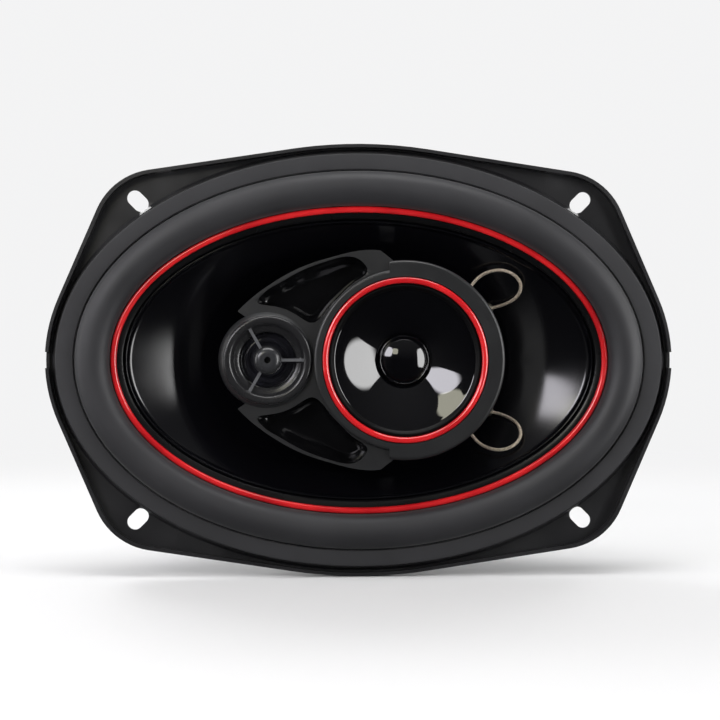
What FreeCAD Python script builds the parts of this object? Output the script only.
"""6x9 inch three-way coaxial car speaker, modelled as it is assembled.

Row frame, millimetres: the origin is the centre of the mounting flange's back face, +X is along
the long side, +Z is up, and the cone faces -Y, so the magnet stands out towards +Y.
Everything is built in a working frame (x, y in the flange plane, z forward, towards the listener)
and turned into the row frame by a quarter turn about X just before export.
"""
import FreeCAD
import Part
import math
import os

Vector = FreeCAD.Vector
os.makedirs("parts", exist_ok=True)

# ---------------------------------------------------------------- shared dimensions
# For every oval, A is the half length along x and B the half width along y.
SHEET = 1.2                                  # basket sheet
SEAT_Z = 3.2                                 # front face of the seat that carries the surround
SURROUND_T = 0.9
SURROUND_FRONT = SEAT_Z + SURROUND_T         # flat front face of the surround
MAGNET_DEPTH = 58.3                          # flange back face to the magnet's front face
TOP_PLATE_T, MAGNET_T = 7.0, 19.7
TOP_PLATE_FRONT = -MAGNET_DEPTH + TOP_PLATE_T
STAKE_CIRCLE = 34.0                          # radius of the circle of four top plate stakes
MID_X, MID_R, MID_Z = 16.3, 37.0, 15.0       # midrange cup: axis, radius, front face
TWEETER_X, TWEETER_R = -34.6, 18.4           # super tweeter cup: axis, radius
WIDE_X, NARROW_X, RIVET_Z = 63.4, 69.6, -46.0    # rivets of the wide and the narrow terminal
RIVET_HOLE_R = 1.25
LEAD_ANGLE = math.radians(47.0)              # direction of the lead holes from the midrange axis
LEAD_Z = -3.0


# ---------------------------------------------------------------- helpers
def export(name, shape):
    """Turn a piece into the row frame and write it as one solid or a compound of solids."""
    turned = shape.copy()
    turned.rotate(Vector(0, 0, 0), Vector(1, 0, 0), 90)
    solids = turned.Solids
    piece = solids[0] if len(solids) == 1 else Part.makeCompound(solids)
    piece.exportStep("parts/%s.step" % name)


def oval_edge(a, b, z):
    if abs(a - b) < 1e-7:
        return Part.Circle(Vector(0, 0, z), Vector(0, 0, 1), a).toShape()
    return Part.Ellipse(Vector(0, 0, z), a, b).toShape()


def outward(solid):
    if solid.Volume < 0:
        solid.reverse()
    return solid


def sewn(faces):
    shell = Part.makeShell(faces)
    shell.sewShape()
    return outward(Part.makeSolid(shell))


def rings(section):
    """Solid between coaxial ovals; section is a closed list of (A, B, z)."""
    edges = [oval_edge(*p) for p in section]
    return sewn([Part.makeRuledSurface(e, f) for e, f in zip(edges, edges[1:] + edges[:1])])


def filled(section):
    """Solid filled to the axis between the first and the last oval."""
    edges = [oval_edge(*p) for p in section]
    ends = [Part.Face(Part.Wire([edge])) for edge in (edges[0], edges[-1])]
    return sewn(ends + [Part.makeRuledSurface(e, f) for e, f in zip(edges, edges[1:])])


def offset_ovals(a, b, z, steps):
    """Ovals stepped from a base oval; steps are (outward offset, rise)."""
    return [(a + out, b + out, z + rise) for out, rise in steps]


def circles(table):
    """Section entries for circles, from (radius, z)."""
    return [(r, r, z) for r, z in table]


def lathe(path, x=0.0, y=0.0):
    """Turned solid. path is a closed section of (r, z);
    ("arc", (r, z), (r, z)) is an arc through the first point to the second."""
    edges = []
    last = path[0]
    for step in path[1:] + path[:1]:
        start = Vector(last[0], 0, last[1])
        if step[0] == "arc":
            middle, last = step[1:]
            end = Vector(last[0], 0, last[1])
            edges.append(Part.Arc(start, Vector(middle[0], 0, middle[1]), end).toShape())
        else:
            last = step
            edges.append(Part.LineSegment(start, Vector(last[0], 0, last[1])).toShape())
    solid = Part.Face(Part.Wire(edges)).revolve(Vector(0, 0, 0), Vector(0, 0, 1), 360)
    solid.translate(Vector(x, y, 0))
    return outward(solid)


def bevelled_ring(inner, outer, z0, z1, bore_bevel, rim_bevel):
    return lathe([
        (inner, z0 + bore_bevel), (inner + bore_bevel, z0),
        (outer - rim_bevel, z0), (outer, z0 + rim_bevel),
        (outer, z1 - rim_bevel), (outer - rim_bevel, z1),
        (inner + bore_bevel, z1), (inner, z1 - bore_bevel)])


def cylinder(r, z0, z1, x=0.0, y=0.0):
    return Part.makeCylinder(r, z1 - z0, Vector(x, y, z0))


def cylinder_y(r, x, z, y0, y1):
    return Part.makeCylinder(r, y1 - y0, Vector(x, y0, z), Vector(0, 1, 0))


def tube(outer, inner, z0, z1, x=0.0):
    return cylinder(outer, z0, z1, x).cut(cylinder(inner, z0 - 1, z1 + 1, x))


def box(x0, x1, y0, y1, z0, z1):
    return Part.makeBox(x1 - x0, y1 - y0, z1 - z0, Vector(x0, y0, z0))


def prism(wire, z0, z1):
    base = wire.copy()
    base.translate(Vector(0, 0, z0))
    return Part.Face(base).extrude(Vector(0, 0, z1 - z0))


def turn(shape, axis, angle):
    shape.rotate(Vector(0, 0, 0), Vector(*axis), angle)


def between(p, q, t):
    return tuple(u + (v - u) * t for u, v in zip(p, q))


def bezier(p0, p1, p2, steps):
    points = []
    for t in [k / steps for k in range(steps + 1)]:
        points.append(tuple((1 - t) ** 2 * u + 2 * t * (1 - t) * v + t * t * w
                            for u, v, w in zip(p0, p1, p2)))
    return points


def arch(centre, z, half_width, rise, steps):
    """Points (r, z) over half an ellipse, from the inner foot to the outer."""
    angles = [math.pi * k / steps for k in range(steps + 1)]
    return [(centre - half_width * math.cos(t), z + rise * math.sin(t)) for t in angles]


def diagonals(radius):
    """Four (x, y) places on a circle, at 45 degrees to the axes."""
    angles = [math.radians(45 + 90 * k) for k in range(4)]
    return [(radius * math.cos(t), radius * math.sin(t)) for t in angles]


def edges_of_length(shape, axis, length):
    """Edges whose bounding box has this length along axis "X", "Y" or "Z"."""
    return [e for e in shape.Edges
            if abs(getattr(e.BoundBox, axis + "Length") - length) < 1e-6]


def spline_edge(points):
    curve = Part.BSplineCurve()
    curve.interpolate([Vector(*p) for p in points])
    return curve.toShape()


def wire_along(points, radius):
    """Round wire swept along a spline through the points."""
    curve = Part.BSplineCurve()
    curve.interpolate([Vector(*p) for p in points])
    path = Part.Wire([curve.toShape()])
    start_way = curve.tangent(curve.FirstParameter)[0]
    profile = Part.Wire([Part.Circle(Vector(*points[0]), start_way, radius).toShape()])
    swept = path.makePipeShell([profile], True, True)
    return Part.makeSolid(swept) if swept.ShapeType != "Solid" else swept


# ---------------------------------------------------------------- flange outline
FLANGE_A, FLANGE_B = 117.5, 81.0
EAR_X, EAR_Y, EAR_R = 92.8, 68.9, 25.0       # ear corner before rounding, and its radius


def touch_angle(a, b, corner, hundredths):
    """Parameter of the ellipse point whose tangent passes nearest the corner."""
    def miss(t):
        x, y = a * math.cos(t), b * math.sin(t)
        way_x, way_y = -a * math.sin(t), b * math.cos(t)
        return abs((corner.x - x) * way_y - (corner.y - y) * way_x) / math.hypot(way_x, way_y)
    return min((math.radians(k / 100.0) for k in hundredths), key=miss)


def outline(inset):
    """Flange outline moved in by inset: an ellipse with four tangent ears."""
    a, b = FLANGE_A - inset, FLANGE_B - inset
    corner = Vector(EAR_X - inset, EAR_Y - inset, 0)
    radius = EAR_R - inset
    t_end = touch_angle(a, b, corner, range(1, 4501))
    t_side = touch_angle(a, b, corner, range(4500, 9000))
    touches = [Vector(a * math.cos(t), b * math.sin(t), 0) for t in (t_end, t_side)]
    ways = [(p - corner).normalize() for p in touches]
    half = ways[0].getAngle(ways[1]) / 2
    rounds = [corner + way * (radius / math.tan(half)) for way in ways]
    bisector = (ways[0] + ways[1]).normalize()
    middle = corner + bisector * (radius / math.sin(half) - radius)
    ear = [touches[0], rounds[0], middle, rounds[1], touches[1]]

    # each ellipse arc is followed by the ear of the next quadrant, anticlockwise
    pi = math.pi
    quadrants = [
        (-t_end, t_end, 1, 1), (t_side, pi - t_side, -1, 1),
        (pi - t_end, pi + t_end, -1, -1), (pi + t_side, 2 * pi - t_side, 1, -1)]
    ellipse = Part.Ellipse(Vector(0, 0, 0), a, b)
    edges = []
    for start, end, sx, sy in quadrants:
        edges.append(Part.ArcOfEllipse(ellipse, start, end).toShape())
        points = [Vector(p.x * sx, p.y * sy, 0) for p in ear]
        if sx * sy < 0:
            points.reverse()
        edges.append(Part.LineSegment(points[0], points[1]).toShape())
        edges.append(Part.Arc(*points[1:4]).toShape())
        edges.append(Part.LineSegment(points[3], points[4]).toShape())
    return Part.Wire(Part.__sortEdges__(edges))


# ---------------------------------------------------------------- basket
LIP_H = 5.3                                  # forward-turned lip, from the flange's back face
LIP_ROUND = 1.4
SLOT_X, SLOT_Y = 83.5, 59.7                  # centres of the mounting slots
SLOT_W, SLOT_L = 5.8, 9.0                    # slot width and end-to-end length
BORDER_W, BORDER_D = 1.8, 0.45               # stamped border round the windows

# (A, B, z) of the bowl's wall: rim, corner between wall and slope, foot of the slope
RIM_OUT, RIM_IN = (110.6, 74.3, 0.0), (109.35, 73.05, 0.0)
CORNER_OUT, CORNER_IN = (107.9, 71.6, -9.8), (106.7, 70.55, -9.1)
FOOT_OUT, FOOT_IN = (54.6, 54.6, -43.2), (53.6, 53.6, -41.9)

# (radius, z) of the round drum behind the bowl
DRUM_OUT = [
    (52.9, -43.9), (52.3, -44.3), (52.3, -44.9), (53.0, -45.1), (53.4, -45.6),
    (53.4, -46.6), (53.0, -47.1), (51.4, -47.4), (50.6, -47.9), (50.4, -48.8),
    (50.4, -50.5), (50.1, -51.1), (49.6, TOP_PLATE_FRONT), (24.0, TOP_PLATE_FRONT)]
DRUM_IN = [
    (24.0, -50.1), (48.2, -50.1), (49.0, -49.4), (49.0, -43.4), (49.4, -43.0), (52.4, -42.8)]

# two points on each window's straight side: (distance from centre, half width)
END_WINDOW = ((55.3, 25.0), (84.0, 40.0))
SIDE_WINDOW = ((51.5, 26.0), (61.0, 44.5))
WINDOW_BACK, WINDOW_H = -60.0, 55.0          # z range of the window cutters
WINDOW_START = 40.0                          # their inner end, inside the bowl's foot

TAB_Z = -43.2                                # back face of the tabs at the ends of the drum
BRIDGE_AT = (59.3, 38.1, -28.2)              # raised pad on one spoke
BRIDGE_SLOPE = (32.8, 35.2)                  # fall and run of the spoke there


def flange_tray():
    blank = prism(outline(0.0), 0, LIP_H)
    back_edges = [e for e in blank.Edges if abs(e.BoundBox.ZMax) < 1e-6]
    try:
        blank = blank.makeFillet(LIP_ROUND, back_edges)
    except Exception:
        pass  # guards the rounding of the lip's back corner, which may fail: it stays sharp
    tray = blank.cut(prism(outline(SHEET), SHEET, LIP_H + 1))
    # raised seat: added in front, hollowed from behind, then opened
    tray = tray.fuse(filled([(115.7, 79.4, 0.2), (115.7, 79.4, SHEET), (114.4, 78.1, SEAT_Z)]))
    tray = tray.cut(filled([
        (115.0, 78.7, -1.0), (115.0, 78.7, 0.0), (113.7, 77.4, SEAT_Z - SHEET)]))
    return tray.cut(filled([(110.3, 74.0, -2), (110.3, 74.0, 6)]))


def window_cutters(grow):
    """Two end and two side windows as prisms along z, grown by grow all round."""
    a, b = 103.0 + grow, 67.8 + grow
    span = filled([(a, b, WINDOW_BACK), (a, b, WINDOW_BACK + WINDOW_H)])
    span = span.cut(cylinder(57.0 - grow, -61, -4))
    cutters = []
    for (near, far), reach, corner_r, along_x in (
            (END_WINDOW, 120.0, 5.0, True), (SIDE_WINDOW, 90.0, 4.0, False)):
        slope = (far[1] - near[1]) / (far[0] - near[0])
        widen = grow * math.hypot(1.0, slope)
        half0, half1 = [near[1] + slope * (d - near[0]) + widen for d in (WINDOW_START, reach)]
        for side in (1, -1):
            start, end = side * WINDOW_START, side * reach
            points = [(start, -half0), (start, half0), (end, half1), (end, -half1)]
            if not along_x:
                points = [(y, x) for x, y in points]
            wedge = Part.makePolygon([Vector(x, y, WINDOW_BACK) for x, y in points + points[:1]])
            cutter = span.common(Part.Face(wedge).extrude(Vector(0, 0, WINDOW_H)))
            corners = [e for e in cutter.Edges
                       if abs(e.BoundBox.ZLength - WINDOW_H) < 1e-3 and e.BoundBox.XLength < 1e-3]
            try:
                cutter = cutter.makeFillet(corner_r + grow, corners)
            except Exception:
                pass  # guards the corner rounding, which may fail: the corners stay sharp
            cutters.append(cutter)
    return cutters


def bowl():
    outside = [(110.9, 74.6, SEAT_Z), RIM_OUT]
    outside += bezier(between(CORNER_OUT, RIM_OUT, 0.4), CORNER_OUT,
                      between(CORNER_OUT, FOOT_OUT, 0.10), 6)
    outside += [between(CORNER_OUT, FOOT_OUT, t) for t in (0.4, 0.7)]
    outside += [FOOT_OUT] + circles(DRUM_OUT)
    inside = circles(DRUM_IN) + [FOOT_IN]
    inside += [between(FOOT_IN, CORNER_IN, t) for t in (0.3, 0.6)]
    inside += bezier(between(CORNER_IN, FOOT_IN, 0.10), CORNER_IN,
                     between(CORNER_IN, RIM_IN, 0.4), 6)
    inside += [RIM_IN, (109.6, 73.3, SEAT_Z)]
    body = rings(outside + inside)
    # layer from outside the slope down to the depth of the stamped border
    depth = BORDER_D / SHEET
    skin = rings([
        between(CORNER_OUT, CORNER_IN, -1), between(FOOT_OUT, FOOT_IN, -1),
        between(FOOT_OUT, FOOT_IN, depth), between(CORNER_OUT, CORNER_IN, depth)])
    for cutter in window_cutters(BORDER_W):
        body = body.cut(skin.common(cutter))
    for cutter in window_cutters(0.0):
        body = body.cut(cutter)
    return body


def terminal_bracket():
    """Bent tab on the +x side of the drum."""
    front = TAB_Z + SHEET
    tab = box(52.5, 72.5, -6.0, 4.2, TAB_Z, front).fuse(box(59.0, 72.5, 3.0, 4.2, -51.0, front))
    for x in (WIDE_X, NARROW_X):
        tab = tab.cut(cylinder_y(RIVET_HOLE_R, x, RIVET_Z, 1, 7))
    return tab


def spare_tab():
    """Flat tab on the -x side of the drum, with two slots."""
    tab = box(-72.5, -52.5, -6.0, 6.0, TAB_Z, TAB_Z + SHEET)
    return tab.cut(box(-68.0, -63.6, -2.0, 0.6, -45, -40)).cut(
        box(-61.4, -60.8, -1.5, 3.0, -45, -40))


def spoke_bridge():
    """Raised pad on one spoke, and the two slits through it."""
    pad = box(-9.0, 9.0, -3.4, 3.4, -0.9, 0.7)
    pad = pad.makeFillet(0.5, edges_of_length(pad, "Z", 1.6))
    slits = box(-7.6, 7.6, 1.2, 2.2, -4, 3).fuse(box(-7.6, 7.6, -2.2, -1.2, -4, 3))
    for shape in (pad, slits):
        turn(shape, (1, 0, 0), 180)
        turn(shape, (0, 1, 0), -math.degrees(math.atan2(*BRIDGE_SLOPE)))
        turn(shape, (0, 0, 1), math.degrees(math.atan2(BRIDGE_AT[1], BRIDGE_AT[0])))
        shape.translate(Vector(*BRIDGE_AT))
    return pad, slits


def mounting_slot(sx, sy):
    half = (SLOT_L - SLOT_W) / 2
    slot = box(-half, half, -SLOT_W / 2, SLOT_W / 2, -2, 8)
    for x in (-half, half):
        slot = slot.fuse(cylinder(SLOT_W / 2, -2, 8, x))
    slot = slot.removeSplitter()
    turn(slot, (0, 0, 1), 45 * sx * sy)
    slot.translate(Vector(sx * SLOT_X, sy * SLOT_Y, 0))
    return slot


def basket():
    body = flange_tray().fuse(bowl())
    body = body.fuse(terminal_bracket()).fuse(spare_tab())
    pad, slits = spoke_bridge()
    body = body.fuse(pad).cut(slits)
    for sx in (1, -1):
        for sy in (1, -1):
            body = body.cut(mounting_slot(sx, sy))
    # grille clip windows in the lip: two on each long side, a notch at each end
    for sx in (1, -1):
        for sy in (1, -1):
            y0, y1 = sorted((sy * 66, sy * 84))
            body = body.cut(box(sx * 74.0 - 3.4, sx * 74.0 + 3.4, y0, y1, 1.6, 4.1))
        x0, x1 = sorted((sx * 116.05, sx * 120))
        body = body.cut(box(x0, x1, -3.0, 3.0, 2.4, 6.0))
    # holes for the top plate's stakes
    for x, y in diagonals(STAKE_CIRCLE):
        body = body.cut(cylinder(2.5, -53, -48, x, y))
    return body.removeSplitter()


# ---------------------------------------------------------------- motor
TOP_PLATE_R, TOP_PLATE_BORE = 50.3, 20.8
MAGNET_R, MAGNET_BORE = 54.3, 25.0
YOKE_R, YOKE_T, YOKE_ROUND = 53.6, 5.0, 2.8  # back plate of the yoke
BUMP_R, BUMP_TOP_R, BUMP_H = 31.0, 24.0, 5.6     # raised centre of its rear face
POLE_R, POLE_FRONT = 18.3, -50.3
YOKE_FRONT = -MAGNET_DEPTH - MAGNET_T
YOKE_BACK = YOKE_FRONT - YOKE_T
BUMP_BACK = YOKE_BACK - BUMP_H
LABEL_T = 0.2


def top_plate():
    front = TOP_PLATE_FRONT
    plate = bevelled_ring(TOP_PLATE_BORE, TOP_PLATE_R, -MAGNET_DEPTH, front, 0.3, 0.5)
    # four stakes that pass forward through the basket floor, with domed heads
    for x, y in diagonals(STAKE_CIRCLE):
        head = lathe([(0, front + 1.2), (3.4, front + 1.2),
                      ("arc", (2.7, front + 1.85), (0.6, front + 2.2)), (0, front + 2.2)], x, y)
        plate = plate.fuse(cylinder(2.4, front - 0.5, front + 1.2, x, y)).fuse(head)
    return plate


def magnet():
    return bevelled_ring(MAGNET_BORE, MAGNET_R, YOKE_FRONT, -MAGNET_DEPTH, 0.7, 0.7)


def back_yoke():
    """Back plate with its rear bump, and the pole with a blind hole for the post."""
    round_mid = YOKE_ROUND * 0.7071
    flat_r = YOKE_R - YOKE_ROUND
    hole_r, hole_end = 5.05, POLE_FRONT - 14.0
    return lathe([
        (0.0, BUMP_BACK), (BUMP_TOP_R - 2.2, BUMP_BACK),
        ("arc", (BUMP_TOP_R - 0.7, BUMP_BACK + 0.35), (BUMP_TOP_R + 0.4, BUMP_BACK + 1.3)),
        (BUMP_R - 3.4, YOKE_BACK - 1.1),
        ("arc", (BUMP_R - 1.9, YOKE_BACK - 0.25), (BUMP_R, YOKE_BACK)),
        (flat_r, YOKE_BACK),
        ("arc", (flat_r + round_mid, YOKE_BACK + YOKE_ROUND - round_mid),
         (YOKE_R, YOKE_BACK + YOKE_ROUND)),
        (YOKE_R, YOKE_FRONT - 0.4), (YOKE_R - 0.4, YOKE_FRONT),
        # groove round the foot of the pole
        (24.6, YOKE_FRONT), (24.6, YOKE_FRONT - 3.6), (23.4, YOKE_FRONT - 4.6),
        (POLE_R + 1.2, YOKE_FRONT - 4.6), (POLE_R, YOKE_FRONT - 3.6),
        (POLE_R, POLE_FRONT - 1.0), (POLE_R - 1.0, POLE_FRONT),
        (hole_r, POLE_FRONT), (hole_r, hole_end), (0.0, hole_end)])


def label_ring():
    return tube(47.7, 31.6, YOKE_BACK - LABEL_T, YOKE_BACK)


def label_disc():
    return cylinder(21.5, BUMP_BACK - LABEL_T, BUMP_BACK)


# ---------------------------------------------------------------- woofer moving parts
COIL_R = 19.1                                # voice coil former, inner radius
FORMER_R = COIL_R + 0.2                      # and outer radius
CONE_A, CONE_B, CONE_FRONT = 87.0, 51.3, 2.3     # cone mouth
NECK_R, NECK_Z = 19.35, -37.0                # cone neck
TRIM_A, TRIM_B = CONE_A + 4.0, CONE_B + 4.0  # inner edge of the trim bead
ROLL_IN, ROLL_OUT = 2.6, 15.6                # feet of the surround's roll, out from the bead edge
EYE_X, EYE_Y = 50.5, 19.6                    # lead eyelets on the cone
EYE_TILT = -27.0
EYE_AXIS = (math.sin(math.radians(EYE_TILT)), 0.0, math.cos(math.radians(EYE_TILT)))


def cone_oval(s):
    """Cone reference surface as (A, B, z); s runs from 0 at the neck to 1 at the mouth."""
    a = NECK_R + (CONE_A - NECK_R) * s
    b = NECK_R + (CONE_B - NECK_R) * s
    z = NECK_Z + (CONE_FRONT - 1.6 - NECK_Z) * (1.25 * s - 0.25 * s * s)
    return a, b, z


def cone_z(x, y):
    """z of the reference surface at (x, y), by bisection."""
    low, high = 0.0, 1.0
    for _ in range(50):
        middle = (low + high) / 2
        a, b, _z = cone_oval(middle)
        if (x / a) ** 2 + (y / b) ** 2 > 1:
            low = middle
        else:
            high = middle
    return cone_oval(low)[2]


def eye_point(sy, along):
    """Point on an eyelet's axis, along mm forward of the cone's reference surface."""
    z = cone_z(EYE_X, EYE_Y)
    return (EYE_X + EYE_AXIS[0] * along, EYE_Y * sy, z + EYE_AXIS[2] * along)


def cone():
    steps = 12
    front = offset_ovals(NECK_R, NECK_R, NECK_Z, [(0.3, 0.45)])
    back = []
    for k in range(1, steps + 1):
        a, b, z = cone_oval(k / steps)
        front.append((a + 0.35, b + 0.35, z + 0.45))
        back.append((a + 0.95 + 0.25 * k / steps, b + 0.75, z - 0.25))
    rim = offset_ovals(CONE_A, CONE_B, CONE_FRONT, [
        (0.9, 0.2), (1.6, 0.75), (2.4, 0.9), (5.4, 0.9), (5.4, 0.0), (2.6, 0.0)])
    # neck collar that glues to the former
    collar = offset_ovals(NECK_R, NECK_R, NECK_Z, [
        (0.95, -0.25), (0.95, -2.6), (0.0, -2.6), (0.0, 0.2)])
    body = rings(front + rim + back[::-1] + collar)
    for sy in (1, -1):
        body = body.cut(Part.makeCylinder(1.3, 10, Vector(*eye_point(sy, -5)), Vector(*EYE_AXIS)))
    return body


def woofer_surround():
    """Single half roll with a flat inner and outer edge."""
    steps = 14
    centre, half = 0.5 * (ROLL_IN + ROLL_OUT), 0.5 * (ROLL_OUT - ROLL_IN)
    front, back = [], []
    for k in range(steps + 1):
        angle = math.pi * k / steps
        bulge = math.sin(angle) ** 0.8
        front.append((centre - half * math.cos(angle), SURROUND_T + 6.2 * bulge))
        rise = 0.0 if k in (0, steps) else 0.05 + 5.35 * bulge
        back.append((centre - (half - 0.95) * math.cos(angle), rise))
    edge_a, edge_b = TRIM_A + 22.9, TRIM_B + 22.2
    return rings(
        offset_ovals(TRIM_A, TRIM_B, SEAT_Z, [(-2.2, SURROUND_T)] + front)
        + [(edge_a, edge_b, SURROUND_FRONT), (edge_a, edge_b, SEAT_Z)]
        + offset_ovals(TRIM_A, TRIM_B, SEAT_Z, back[::-1] + [(-2.2, 0.0)]))


def front_gasket():
    back, front = SURROUND_FRONT, SURROUND_FRONT + 1.2
    return rings([
        (107.1, 71.4, back), (107.1, 71.4, front - 0.4), (107.6, 71.9, front),
        (113.3, 76.9, front), (113.8, 77.4, front - 0.4), (113.8, 77.4, back)])


def woofer_trim_ring():
    bead = [(0.0, 0.0)] + arch(1.2, 0.5, 1.2, 1.1, 8) + [(2.4, 0.0)]
    return rings(offset_ovals(TRIM_A, TRIM_B, SURROUND_FRONT, bead))


def voice_coil_former():
    return tube(FORMER_R, COIL_R, -62.5, -35.2)


def voice_coil_winding():
    return tube(COIL_R + 1.05, FORMER_R, -60.8, -48.8)


def spider():
    """Corrugated disc from the former to the basket's ledge."""
    z, thick = -41.2, 0.5
    wave_in, wave_out = 23.0, 48.6
    waves, wave_h, steps = 5, 1.35, 60
    front, back = [], []
    for k in range(steps + 1):
        u = k / steps
        r = wave_in + (wave_out - wave_in) * u
        wave = wave_h * math.sin(2 * math.pi * waves * u)
        front.append((r, z + wave + thick))
        back.append((r, z + wave))
    foot = [(wave_out + 1.2, z + thick), (49.8, -42.1), (52.4, -42.1), (52.4, -42.6),
            (49.3, -42.6), (wave_out + 0.9, z)]
    return lathe([(FORMER_R, z), (FORMER_R, z + thick), (wave_in - 1.5, z + thick)]
                 + front + foot + back[::-1] + [(wave_in - 1.5, z)])


# ---------------------------------------------------------------- post and pod
POST_R = 8.0
POST_FRONT = -18.5                           # where the pod base sits on the post

# (x, y) of the upper wing's edge, from the midrange side to the tip beside the tweeter
WING = [
    (7.2, 40.5), (2.6, 40.75), (-3.0, 40.1), (-10.4, 38.3),
    (-22.0, 34.5), (-32.0, 29.2), (-39.4, 24.0), (-45.8, 18.1)]
WING_END = (12.4, 36.4)                      # slanted edge beside the midrange ring
WING_TIP = (-41.4, 15.0)                     # the edge comes back here under the tweeter ring

# (x, y) of the upper pocket's edge, and of the narrow shape it closes in on, point for point
POCKET = [
    (1.6, 35.0), (-3.5, 38.2), (-11.5, 36.9), (-22.0, 33.1), (-31.0, 28.2), (-37.4, 23.7),
    (-38.6, 21.6), (-35.0, 20.3), (-28.0, 18.8), (-22.6, 15.9), (-18.0, 13.9), (-14.4, 16.2),
    (-11.2, 20.3), (-6.6, 25.1), (-1.6, 29.5), (2.1, 32.6)]
POCKET_CORE = [
    (-3.0, 33.2), (-5.0, 32.5), (-11.0, 29.0), (-19.0, 24.5), (-26.0, 23.2), (-31.5, 22.8),
    (-32.5, 22.4), (-31.5, 22.0), (-26.5, 22.5), (-21.0, 20.5), (-17.5, 19.5), (-16.5, 21.0),
    (-14.0, 24.0), (-10.0, 28.0), (-6.0, 31.0), (-3.5, 32.6)]
# (share of the way from edge to core, z)
POCKET_LEVELS = [(-0.03, 20.0), (-0.015, 13.0), (0.0, 9.5), (0.12, 6.0), (0.33, 3.6), (0.58, 2.4)]
DECK_HIGH, DECK_LOW = (12.0, 13.6), (-44.0, 9.2)     # (x, z) of the sloping deck's ends


def pod_post():
    stud_r, stud_back = 5.0, -64.2
    post = lathe([
        (0, stud_back), (stud_r, stud_back), (stud_r, POLE_FRONT), (POST_R, POLE_FRONT),
        (POST_R, POST_FRONT - 4.5), (POST_R + 3.0, POST_FRONT - 2.0),
        (POST_R + 3.0, POST_FRONT), (0, POST_FRONT)])
    return post.cut(cylinder(1.25, -48.0, -14))


def wing_wire(inset):
    """Outline of both wings, moved in by inset."""
    points = [(x, y - inset) for x, y in WING[:-1]]
    points.append((WING[-1][0] + inset * 1.6, WING[-1][1] - inset * 0.6))
    end = (WING_END[0] - inset * 0.4, WING_END[1] - inset)
    tip = (WING_TIP[0] + inset * 0.5, WING_TIP[1] - inset * 0.5)
    edges = [spline_edge([(x, y * sy, 0) for x, y in points]) for sy in (1, -1)]
    for near, corner in ((points[0], end), (points[-1], tip)):
        run = [Vector(*near), Vector(*corner),
               Vector(corner[0], -corner[1]), Vector(near[0], -near[1])]
        for p, q in zip(run, run[1:]):
            edges.append(Part.LineSegment(p, q).toShape())
    return Part.Wire(Part.__sortEdges__(edges))


def pocket(sy):
    levels = []
    for share, z in POCKET_LEVELS:
        points = [between(p, q, share) for p, q in zip(POCKET, POCKET_CORE)]
        curve = Part.BSplineCurve()
        curve.interpolate(Points=[Vector(x, y * sy, z) for x, y in points], PeriodicFlag=True)
        levels.append(Part.Wire([curve.toShape()]))
    return Part.makeLoft(levels, True, False)


def wings():
    """Wing block under a deck that falls from the midrange to the tweeter, with two pockets."""
    body = prism(wing_wire(0), -4, 15)
    slope = math.degrees(math.atan2(DECK_HIGH[1] - DECK_LOW[1], DECK_HIGH[0] - DECK_LOW[0]))
    above_deck = Part.makeBox(160, 120, 20, Vector(-80, -60, 0))
    turn(above_deck, (0, 1, 0), -slope)
    above_deck.translate(Vector(DECK_HIGH[0], 0, DECK_HIGH[1]))
    body = body.cut(above_deck)
    for sy in (1, -1):
        body = body.cut(pocket(sy))
    return body


def mid_cup():
    """Midrange cup: full width on the +x side, only a narrow wall on the tweeter's side."""
    cup = lathe([
        (0, -6), (MID_R - 3.0, -6), (MID_R - 1.2, -1.0), (MID_R, 13.6),
        ("arc", (MID_R - 0.35, 14.6), (MID_R - 1.3, MID_Z)), (0, MID_Z)], MID_X)
    narrow = lathe([
        (0, -6), (MID_R - 3.2, -6), (MID_R - 3.2, 13.9),
        ("arc", (MID_R - 3.6, 14.7), (MID_R - 4.4, MID_Z)), (0, MID_Z)], MID_X)
    return cup.common(box(10.4, 80, -60, 60, -10, 30)).fuse(narrow)


def lead_entry(sy, radius):
    """Point on the line of a lead hole, radius mm from the midrange axis."""
    return (MID_X + radius * math.cos(LEAD_ANGLE), radius * math.sin(LEAD_ANGLE) * sy, LEAD_Z)


def pod_housing():
    tweeter_cup = lathe([
        (0, -4), (TWEETER_R - 1.5, -4), (TWEETER_R, 4.0), (TWEETER_R, 6.6),
        ("arc", (TWEETER_R - 0.5, 9.6), (TWEETER_R - 2.0, 11.6)), (0, 11.6)], TWEETER_X)
    body = wings().fuse(mid_cup()).fuse(tweeter_cup)
    # hollow the wings from behind, outside both cups
    hollow = prism(wing_wire(2.0), -6, 0.6).cut(cylinder(MID_R, -8, 30, MID_X))
    body = body.cut(hollow.cut(cylinder(TWEETER_R, -8, 30, TWEETER_X)))
    # driver cavities, each with a step near the front
    mid_wall = MID_R - 5.0
    body = body.cut(lathe([
        (0, -7), (mid_wall, -7), (mid_wall, 8.6), (30.9, 8.6), (30.9, 16), (0, 16)], MID_X))
    body = body.cut(lathe([
        (0, -7), (13.6, -7), (13.6, 9.6), (14.9, 9.6), (14.9, 12), (0, 12)], TWEETER_X))
    # holes where the flexible leads enter
    for sy in (1, -1):
        way = Vector(math.cos(LEAD_ANGLE), sy * math.sin(LEAD_ANGLE), 0)
        body = body.cut(Part.makeCylinder(1.05, 12, Vector(*lead_entry(sy, 28)), way))
    return body.removeSplitter()


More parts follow.
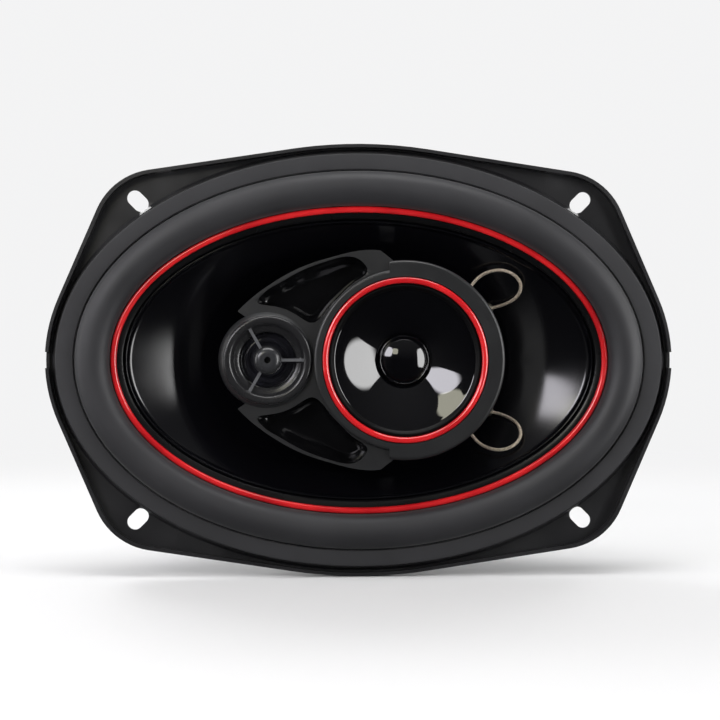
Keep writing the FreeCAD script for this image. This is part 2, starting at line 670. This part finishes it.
def pod_base():
    """Rear cover: a shallow boat with the boss that stands on the post."""
    mid_outer = lathe([
        (0, -17.0), (14, -17.0), (27, -12.0), (34.2, -6.1), (0, -6.1)], MID_X)
    mid_inner = lathe([
        (0, -15.6), (13.4, -15.6), (26.2, -10.8), (31.6, -6.0), (0, -6.0)], MID_X)
    tweeter_outer = lathe([(0, -9.0), (11, -9.0), (16.8, -4.1), (0, -4.1)], TWEETER_X)
    tweeter_inner = lathe([(0, -7.8), (10.4, -7.8), (14.2, -4.0), (0, -4.0)], TWEETER_X)
    bridge_outer = box(-36, 0, -9, 9, -9.0, -4.1)
    bridge_inner = box(-36, 2, -7.6, 7.6, -7.8, -4.0)
    boss = cylinder(11.0, POST_FRONT, -9.0)
    body = mid_outer.fuse(tweeter_outer).fuse(bridge_outer).fuse(boss)
    body = body.cut(mid_inner).cut(tweeter_inner).cut(bridge_inner)
    # screw head recess and screw hole
    body = body.cut(cylinder(5.2, -15.6, -5)).cut(cylinder(2.0, -20, -5))
    # keep clear of the housing in front
    body = body.cut(cylinder(MID_R + 0.05, -6.05, 9, MID_X))
    body = body.cut(cylinder(TWEETER_R + 0.05, -4.05, 9, TWEETER_X))
    body = body.cut(box(-90, 90, -60, 60, -4.05, 9))
    return body.removeSplitter()


def pod_screw():
    """Screw with a domed, cross-slotted head."""
    screw = lathe([
        (0, -34.0), (1.2, -34.0), (1.2, -15.55), (3.0, -15.55), (3.0, -14.4),
        ("arc", (2.2, -13.7), (0.4, -13.4)), (0, -13.4)])
    for half_x, half_y in ((2.0, 0.35), (0.35, 2.0)):
        screw = screw.cut(box(-half_x, half_x, -half_y, half_y, -14.6, -13))
    return screw


# ---------------------------------------------------------------- midrange
MID_YOKE_BACK, MID_MAGNET_BACK, MID_PLATE_BACK, MID_PLATE_FRONT = -11.6, -9.6, -4.6, -2.0
MID_FORMER_R = 7.2                           # outer radius of the former


def mid_frame():
    back = MID_PLATE_FRONT
    frame = lathe([
        (7.9, back), (15.0, back), (17.0, -0.6), (29.0, 8.6), (30.7, 8.6), (30.7, 13.2),
        (28.0, 13.2), (28.0, 9.8), (16.4, 0.6), (14.6, -1.0), (7.9, -1.0)], MID_X)
    for x, y in diagonals(21.5):
        frame = frame.cut(cylinder(3.4, -3, 9, MID_X + x, y))
    return frame


def mid_top_plate():
    return tube(15.0, 7.75, MID_PLATE_BACK, MID_PLATE_FRONT, MID_X)


def mid_magnet():
    return tube(17.5, 9.5, MID_MAGNET_BACK, MID_PLATE_BACK, MID_X)


def mid_yoke():
    back, front = MID_YOKE_BACK, MID_MAGNET_BACK
    return lathe([
        (0, back), (16.2, back), (16.6, back + 0.4), (16.6, front), (6.5, front),
        (6.5, MID_PLATE_FRONT), (0, MID_PLATE_FRONT)], MID_X)


def mid_former():
    return tube(MID_FORMER_R, 6.95, -7.2, 3.6, MID_X)


def mid_winding():
    return tube(7.55, MID_FORMER_R, -5.2, -1.2, MID_X)


def mid_cone():
    def flare(r, z):
        return [(r + 17.6 * s, z + 8.4 * (1.3 * s - 0.3 * s * s)) for s in
                [k / 8 for k in range(9)]]

    # the back face leaves out the flare's outermost point
    return lathe([(MID_FORMER_R, 3.0), (MID_FORMER_R, 4.0)] + flare(8.4, 4.0)
                 + [(26.9, 12.9), (26.9, 12.4)] + flare(8.6, 3.4)[-2::-1] + [(8.0, 3.0)], MID_X)


def mid_surround():
    z = 12.9
    return lathe([(26.2, z), (26.2, z + 0.25)] + arch(27.6, z + 0.25, 0.7, 0.6, 6)
                 + [(30.4, z + 0.55), (30.4, 13.2), (28.4, 13.2)]
                 + arch(27.6, z, 0.45, 0.5, 6)[::-1], MID_X)


def mid_dust_cap():
    return lathe([
        (0, 7.9), (0.4, 7.9), ("arc", (5.6, 7.05), (9.6, 5.6)),
        (9.3, 5.35), ("arc", (5.5, 6.65), (0.4, 7.5)), (0, 7.5)], MID_X)


def mid_trim_ring():
    return lathe([(28.5, 13.5)] + arch(29.65, 14.3, 1.15, 0.9, 8) + [(30.8, 13.5)], MID_X)


# ---------------------------------------------------------------- super tweeter
TWEETER_COIL_R = 6.4                         # outer radius of the coil
TWEETER_FLOOR = 1.6                          # inside floor of the yoke
TWEETER_YOKE_FRONT = 4.2


def tweeter_bezel():
    """Rim ring and a pierced centre bulb joined by three arms."""
    bezel = lathe([
        (10.6, 9.7), (14.8, 9.7), (14.8, 11.7), (16.4, 11.7),
        ("arc", (16.2, 12.8), (14.9, 13.2)), ("arc", (13.7, 12.9), (13.2, 12.0)),
        (12.4, 10.9), (11.2, 10.6), (10.6, 10.3)], TWEETER_X)
    bezel = bezel.fuse(lathe([
        (0, 9.9), (3.4, 9.9), (5.4, 10.9),
        ("arc", (4.6, 13.2), (2.0, 14.2)), (0, 14.3)], TWEETER_X))
    for k in range(3):
        arm = box(4.4, 13.4, -0.55, 0.55, 10.8, 12.0)
        turn(arm, (0, 0, 1), 120 * k)
        arm.translate(Vector(TWEETER_X, 0, 0))
        bezel = bezel.fuse(arm)
    return bezel.cut(cylinder(1.2, 11.5, 20, TWEETER_X)).removeSplitter()


def tweeter_dome():
    return lathe([
        (0, 9.3), (0.3, 9.3), ("arc", (3.9, 8.55), (TWEETER_COIL_R, 6.9)),
        (TWEETER_COIL_R, 6.5), (6.2, 6.5), ("arc", (3.7, 8.15), (0.3, 8.95)), (0, 8.95)],
        TWEETER_X)


def tweeter_surround():
    return lathe([
        (TWEETER_COIL_R, 6.55), (TWEETER_COIL_R, 6.85), (7.2, 7.4), (8.2, 7.4), (8.9, 6.9),
        (10.4, 6.9), (10.4, 6.6), (8.7, 6.6), (8.0, 7.1), (7.3, 7.1)], TWEETER_X)


def tweeter_coil():
    return tube(TWEETER_COIL_R, 6.15, 3.2, 6.5, TWEETER_X)


def tweeter_plate():
    return lathe([
        (7.0, TWEETER_YOKE_FRONT), (12.9, TWEETER_YOKE_FRONT), (12.9, 8.3), (11.9, 9.3),
        (11.9, 6.6), (10.4, 6.6), (7.0, 6.0)], TWEETER_X)


def tweeter_yoke():
    return lathe([
        (0, 0.0), (9.6, 0.0), (9.6, TWEETER_YOKE_FRONT), (8.9, TWEETER_YOKE_FRONT),
        (8.9, TWEETER_FLOOR), (0, TWEETER_FLOOR)], TWEETER_X)


def tweeter_magnet():
    disc = cylinder(5.7, TWEETER_FLOOR, 5.2, TWEETER_X)
    return disc.fuse(cylinder(5.8, 5.2, 6.3, TWEETER_X))


# ---------------------------------------------------------------- leads
# points between the eyelet and the terminal lug, for the upper (1) and lower (-1) lead
REAR_LEAD = {
    1: [(58.5, 17.0, -22.5), (61.6, 11.6, -26.6), (63.3, 7.4, -28.0), (WIDE_X, 6.2, -30.4)],
    -1: [(59.5, -14.0, -20.5), (65.5, -4.0, -23.4), (69.0, 4.0, -26.4), (NARROW_X, 6.2, -30.4)]}
# slack loop of the upper front lead; the lower one mirrors it
FRONT_LOOP = [
    (55.8, 21.2, -7.6), (60.6, 24.6, -2.6), (60.8, 29.4, 0.2),
    (56.2, 33.4, 0.6), (49.4, 33.6, -1.0), (44.6, 30.8, -2.6)]


def front_lead(sy):
    """Leaves the eyelet square to the cone, swings out and back, and ends in the pod's side."""
    loop = [(x, y * sy, z) for x, y, z in FRONT_LOOP]
    return wire_along([eye_point(sy, 2.2), eye_point(sy, 3.5)] + loop
                      + [lead_entry(sy, 37.5), lead_entry(sy, 31.0)], 0.62)


def rear_lead(sy):
    return wire_along([eye_point(sy, -2.35), eye_point(sy, -4.5)] + REAR_LEAD[sy], 0.55)


def lead_eyelets():
    eyelets = []
    for sy in (1, -1):
        eyelet = lathe([
            (0, -2.2), (1.2, -2.2), (1.2, 1.2), (2.3, 1.2), (2.3, 1.6),
            ("arc", (1.5, 2.0), (0.4, 2.1)), (0, 2.1)])
        turn(eyelet, (0, 1, 0), EYE_TILT)
        eyelet.translate(Vector(*eye_point(sy, 0.0)))
        eyelets.append(eyelet)
    return Part.makeCompound(eyelets)


# ---------------------------------------------------------------- terminals, capacitors
BLADE_Y0, BLADE_Y1 = 5.85, 6.65              # lower and upper face of the terminals
BLADE_T = 0.8
LUG_Z = -32.2                                # centre of the solder lug's round end


def terminal_board():
    board = box(59.6, 73.4, 4.25, 5.8, -52.5, -38.0)
    board = board.makeFillet(1.2, edges_of_length(board, "Y", 1.55))
    for x in (WIDE_X, NARROW_X):
        board = board.cut(cylinder_y(RIVET_HOLE_R, x, RIVET_Z, 3, 7))
    return board


def terminal_blade(x, width, tip, side_arm):
    """Blade to the rear, solder lug to the front and, with side_arm, a blade towards +x."""
    y0, y1 = BLADE_Y0, BLADE_Y1
    blade = box(x - width / 2, x + width / 2, y0, y1, tip, -49.5)
    tip_edges = [e for e in edges_of_length(blade, "Y", BLADE_T) if e.BoundBox.ZMax < tip + 0.01]
    blade = blade.makeChamfer(width * 0.2, tip_edges)
    blade = blade.fuse(box(x - 2.6, x + 2.6, y0, y1, -50.0, -41.5))
    blade = blade.fuse(box(x - 1.4, x + 1.4, y0, y1, -41.7, LUG_Z))
    blade = blade.fuse(cylinder_y(1.4, x, LUG_Z, y0, y1))
    if side_arm:
        arm = box(x, x + 11.5, y0, y1, -43.0, -38.8)
        arm_edges = [e for e in edges_of_length(arm, "Y", BLADE_T) if e.BoundBox.XMin > x + 11]
        arm = arm.makeChamfer(0.9, arm_edges)
        blade = blade.fuse(arm).cut(cylinder_y(0.7, x + 9.0, -40.9, 5, 8))
    for hole_r, z in ((0.6, LUG_Z), (0.8, tip + 2.9), (RIVET_HOLE_R, RIVET_Z)):
        blade = blade.cut(cylinder_y(hole_r, x, z, 5, 8))
    # upturned ears that grip the wire
    for sx in (-1, 1):
        x0, x1 = sorted((x + sx * 1.4, x + sx * 0.9))
        blade = blade.fuse(box(x0, x1, y1 - 0.1, y1 + 1.5, -37.2, -35.4))
    return blade.removeSplitter()


def terminal_rivets():
    rivets = []
    for x in (WIDE_X, NARROW_X):
        shank = cylinder_y(1.2, x, RIVET_Z, 2.5, 7.0)
        ball = Part.makeSphere(2.6, Vector(x, 5.4, RIVET_Z))
        head = ball.common(cylinder_y(2.0, x, RIVET_Z, 6.7, 9))
        foot = cylinder_y(1.9, x, RIVET_Z, 2.3, 2.95)
        rivets.append(shank.fuse(head).fuse(foot).removeSplitter())
    return Part.makeCompound(rivets)


def capacitor(radius, length, x, y, z):
    """Round can along y with rounded ends; (x, y, z) is the centre of its lower end."""
    can = cylinder_y(radius, x, z, y, y + length)
    return can.makeFillet(0.4, [e for e in can.Edges if e.BoundBox.YLength < 1e-3])


# ---------------------------------------------------------------- export
PIECES = [
    ("basket", basket), ("top_plate", top_plate), ("magnet", magnet), ("back_yoke", back_yoke),
    ("back_label_ring", label_ring), ("back_label_disc", label_disc),
    ("woofer_cone", cone), ("woofer_surround", woofer_surround),
    ("woofer_trim_ring", woofer_trim_ring), ("front_gasket", front_gasket),
    ("voice_coil_former", voice_coil_former), ("voice_coil_winding", voice_coil_winding),
    ("spider", spider), ("pod_post", pod_post), ("pod_housing", pod_housing),
    ("pod_base", pod_base), ("pod_screw", pod_screw),
    ("mid_frame", mid_frame), ("mid_top_plate", mid_top_plate), ("mid_magnet", mid_magnet),
    ("mid_yoke", mid_yoke), ("mid_coil_former", mid_former), ("mid_coil_winding", mid_winding),
    ("mid_cone", mid_cone), ("mid_surround", mid_surround), ("mid_dust_cap", mid_dust_cap),
    ("mid_trim_ring", mid_trim_ring),
    ("tweeter_bezel", tweeter_bezel), ("tweeter_dome", tweeter_dome),
    ("tweeter_surround", tweeter_surround), ("tweeter_coil", tweeter_coil),
    ("tweeter_plate", tweeter_plate), ("tweeter_yoke", tweeter_yoke),
    ("tweeter_magnet", tweeter_magnet),
    ("front_lead_upper", lambda: front_lead(1)), ("front_lead_lower", lambda: front_lead(-1)),
    ("lead_eyelets", lead_eyelets),
    ("rear_lead_upper", lambda: rear_lead(1)), ("rear_lead_lower", lambda: rear_lead(-1)),
    ("terminal_board", terminal_board),
    ("terminal_blade_wide", lambda: terminal_blade(WIDE_X, 5.6, -60.0, side_arm=False)),
    ("terminal_blade_narrow", lambda: terminal_blade(NARROW_X, 3.4, -56.5, side_arm=True)),
    ("terminal_rivets", terminal_rivets),
    ("mid_capacitor", lambda: capacitor(2.3, 12.0, x=-8.0, y=-6.0, z=-6.2)),
    ("tweeter_capacitor", lambda: capacitor(1.9, 9.0, x=40.6, y=-4.5, z=-6.4)),
]

for name, build in PIECES:
    export(name, build())
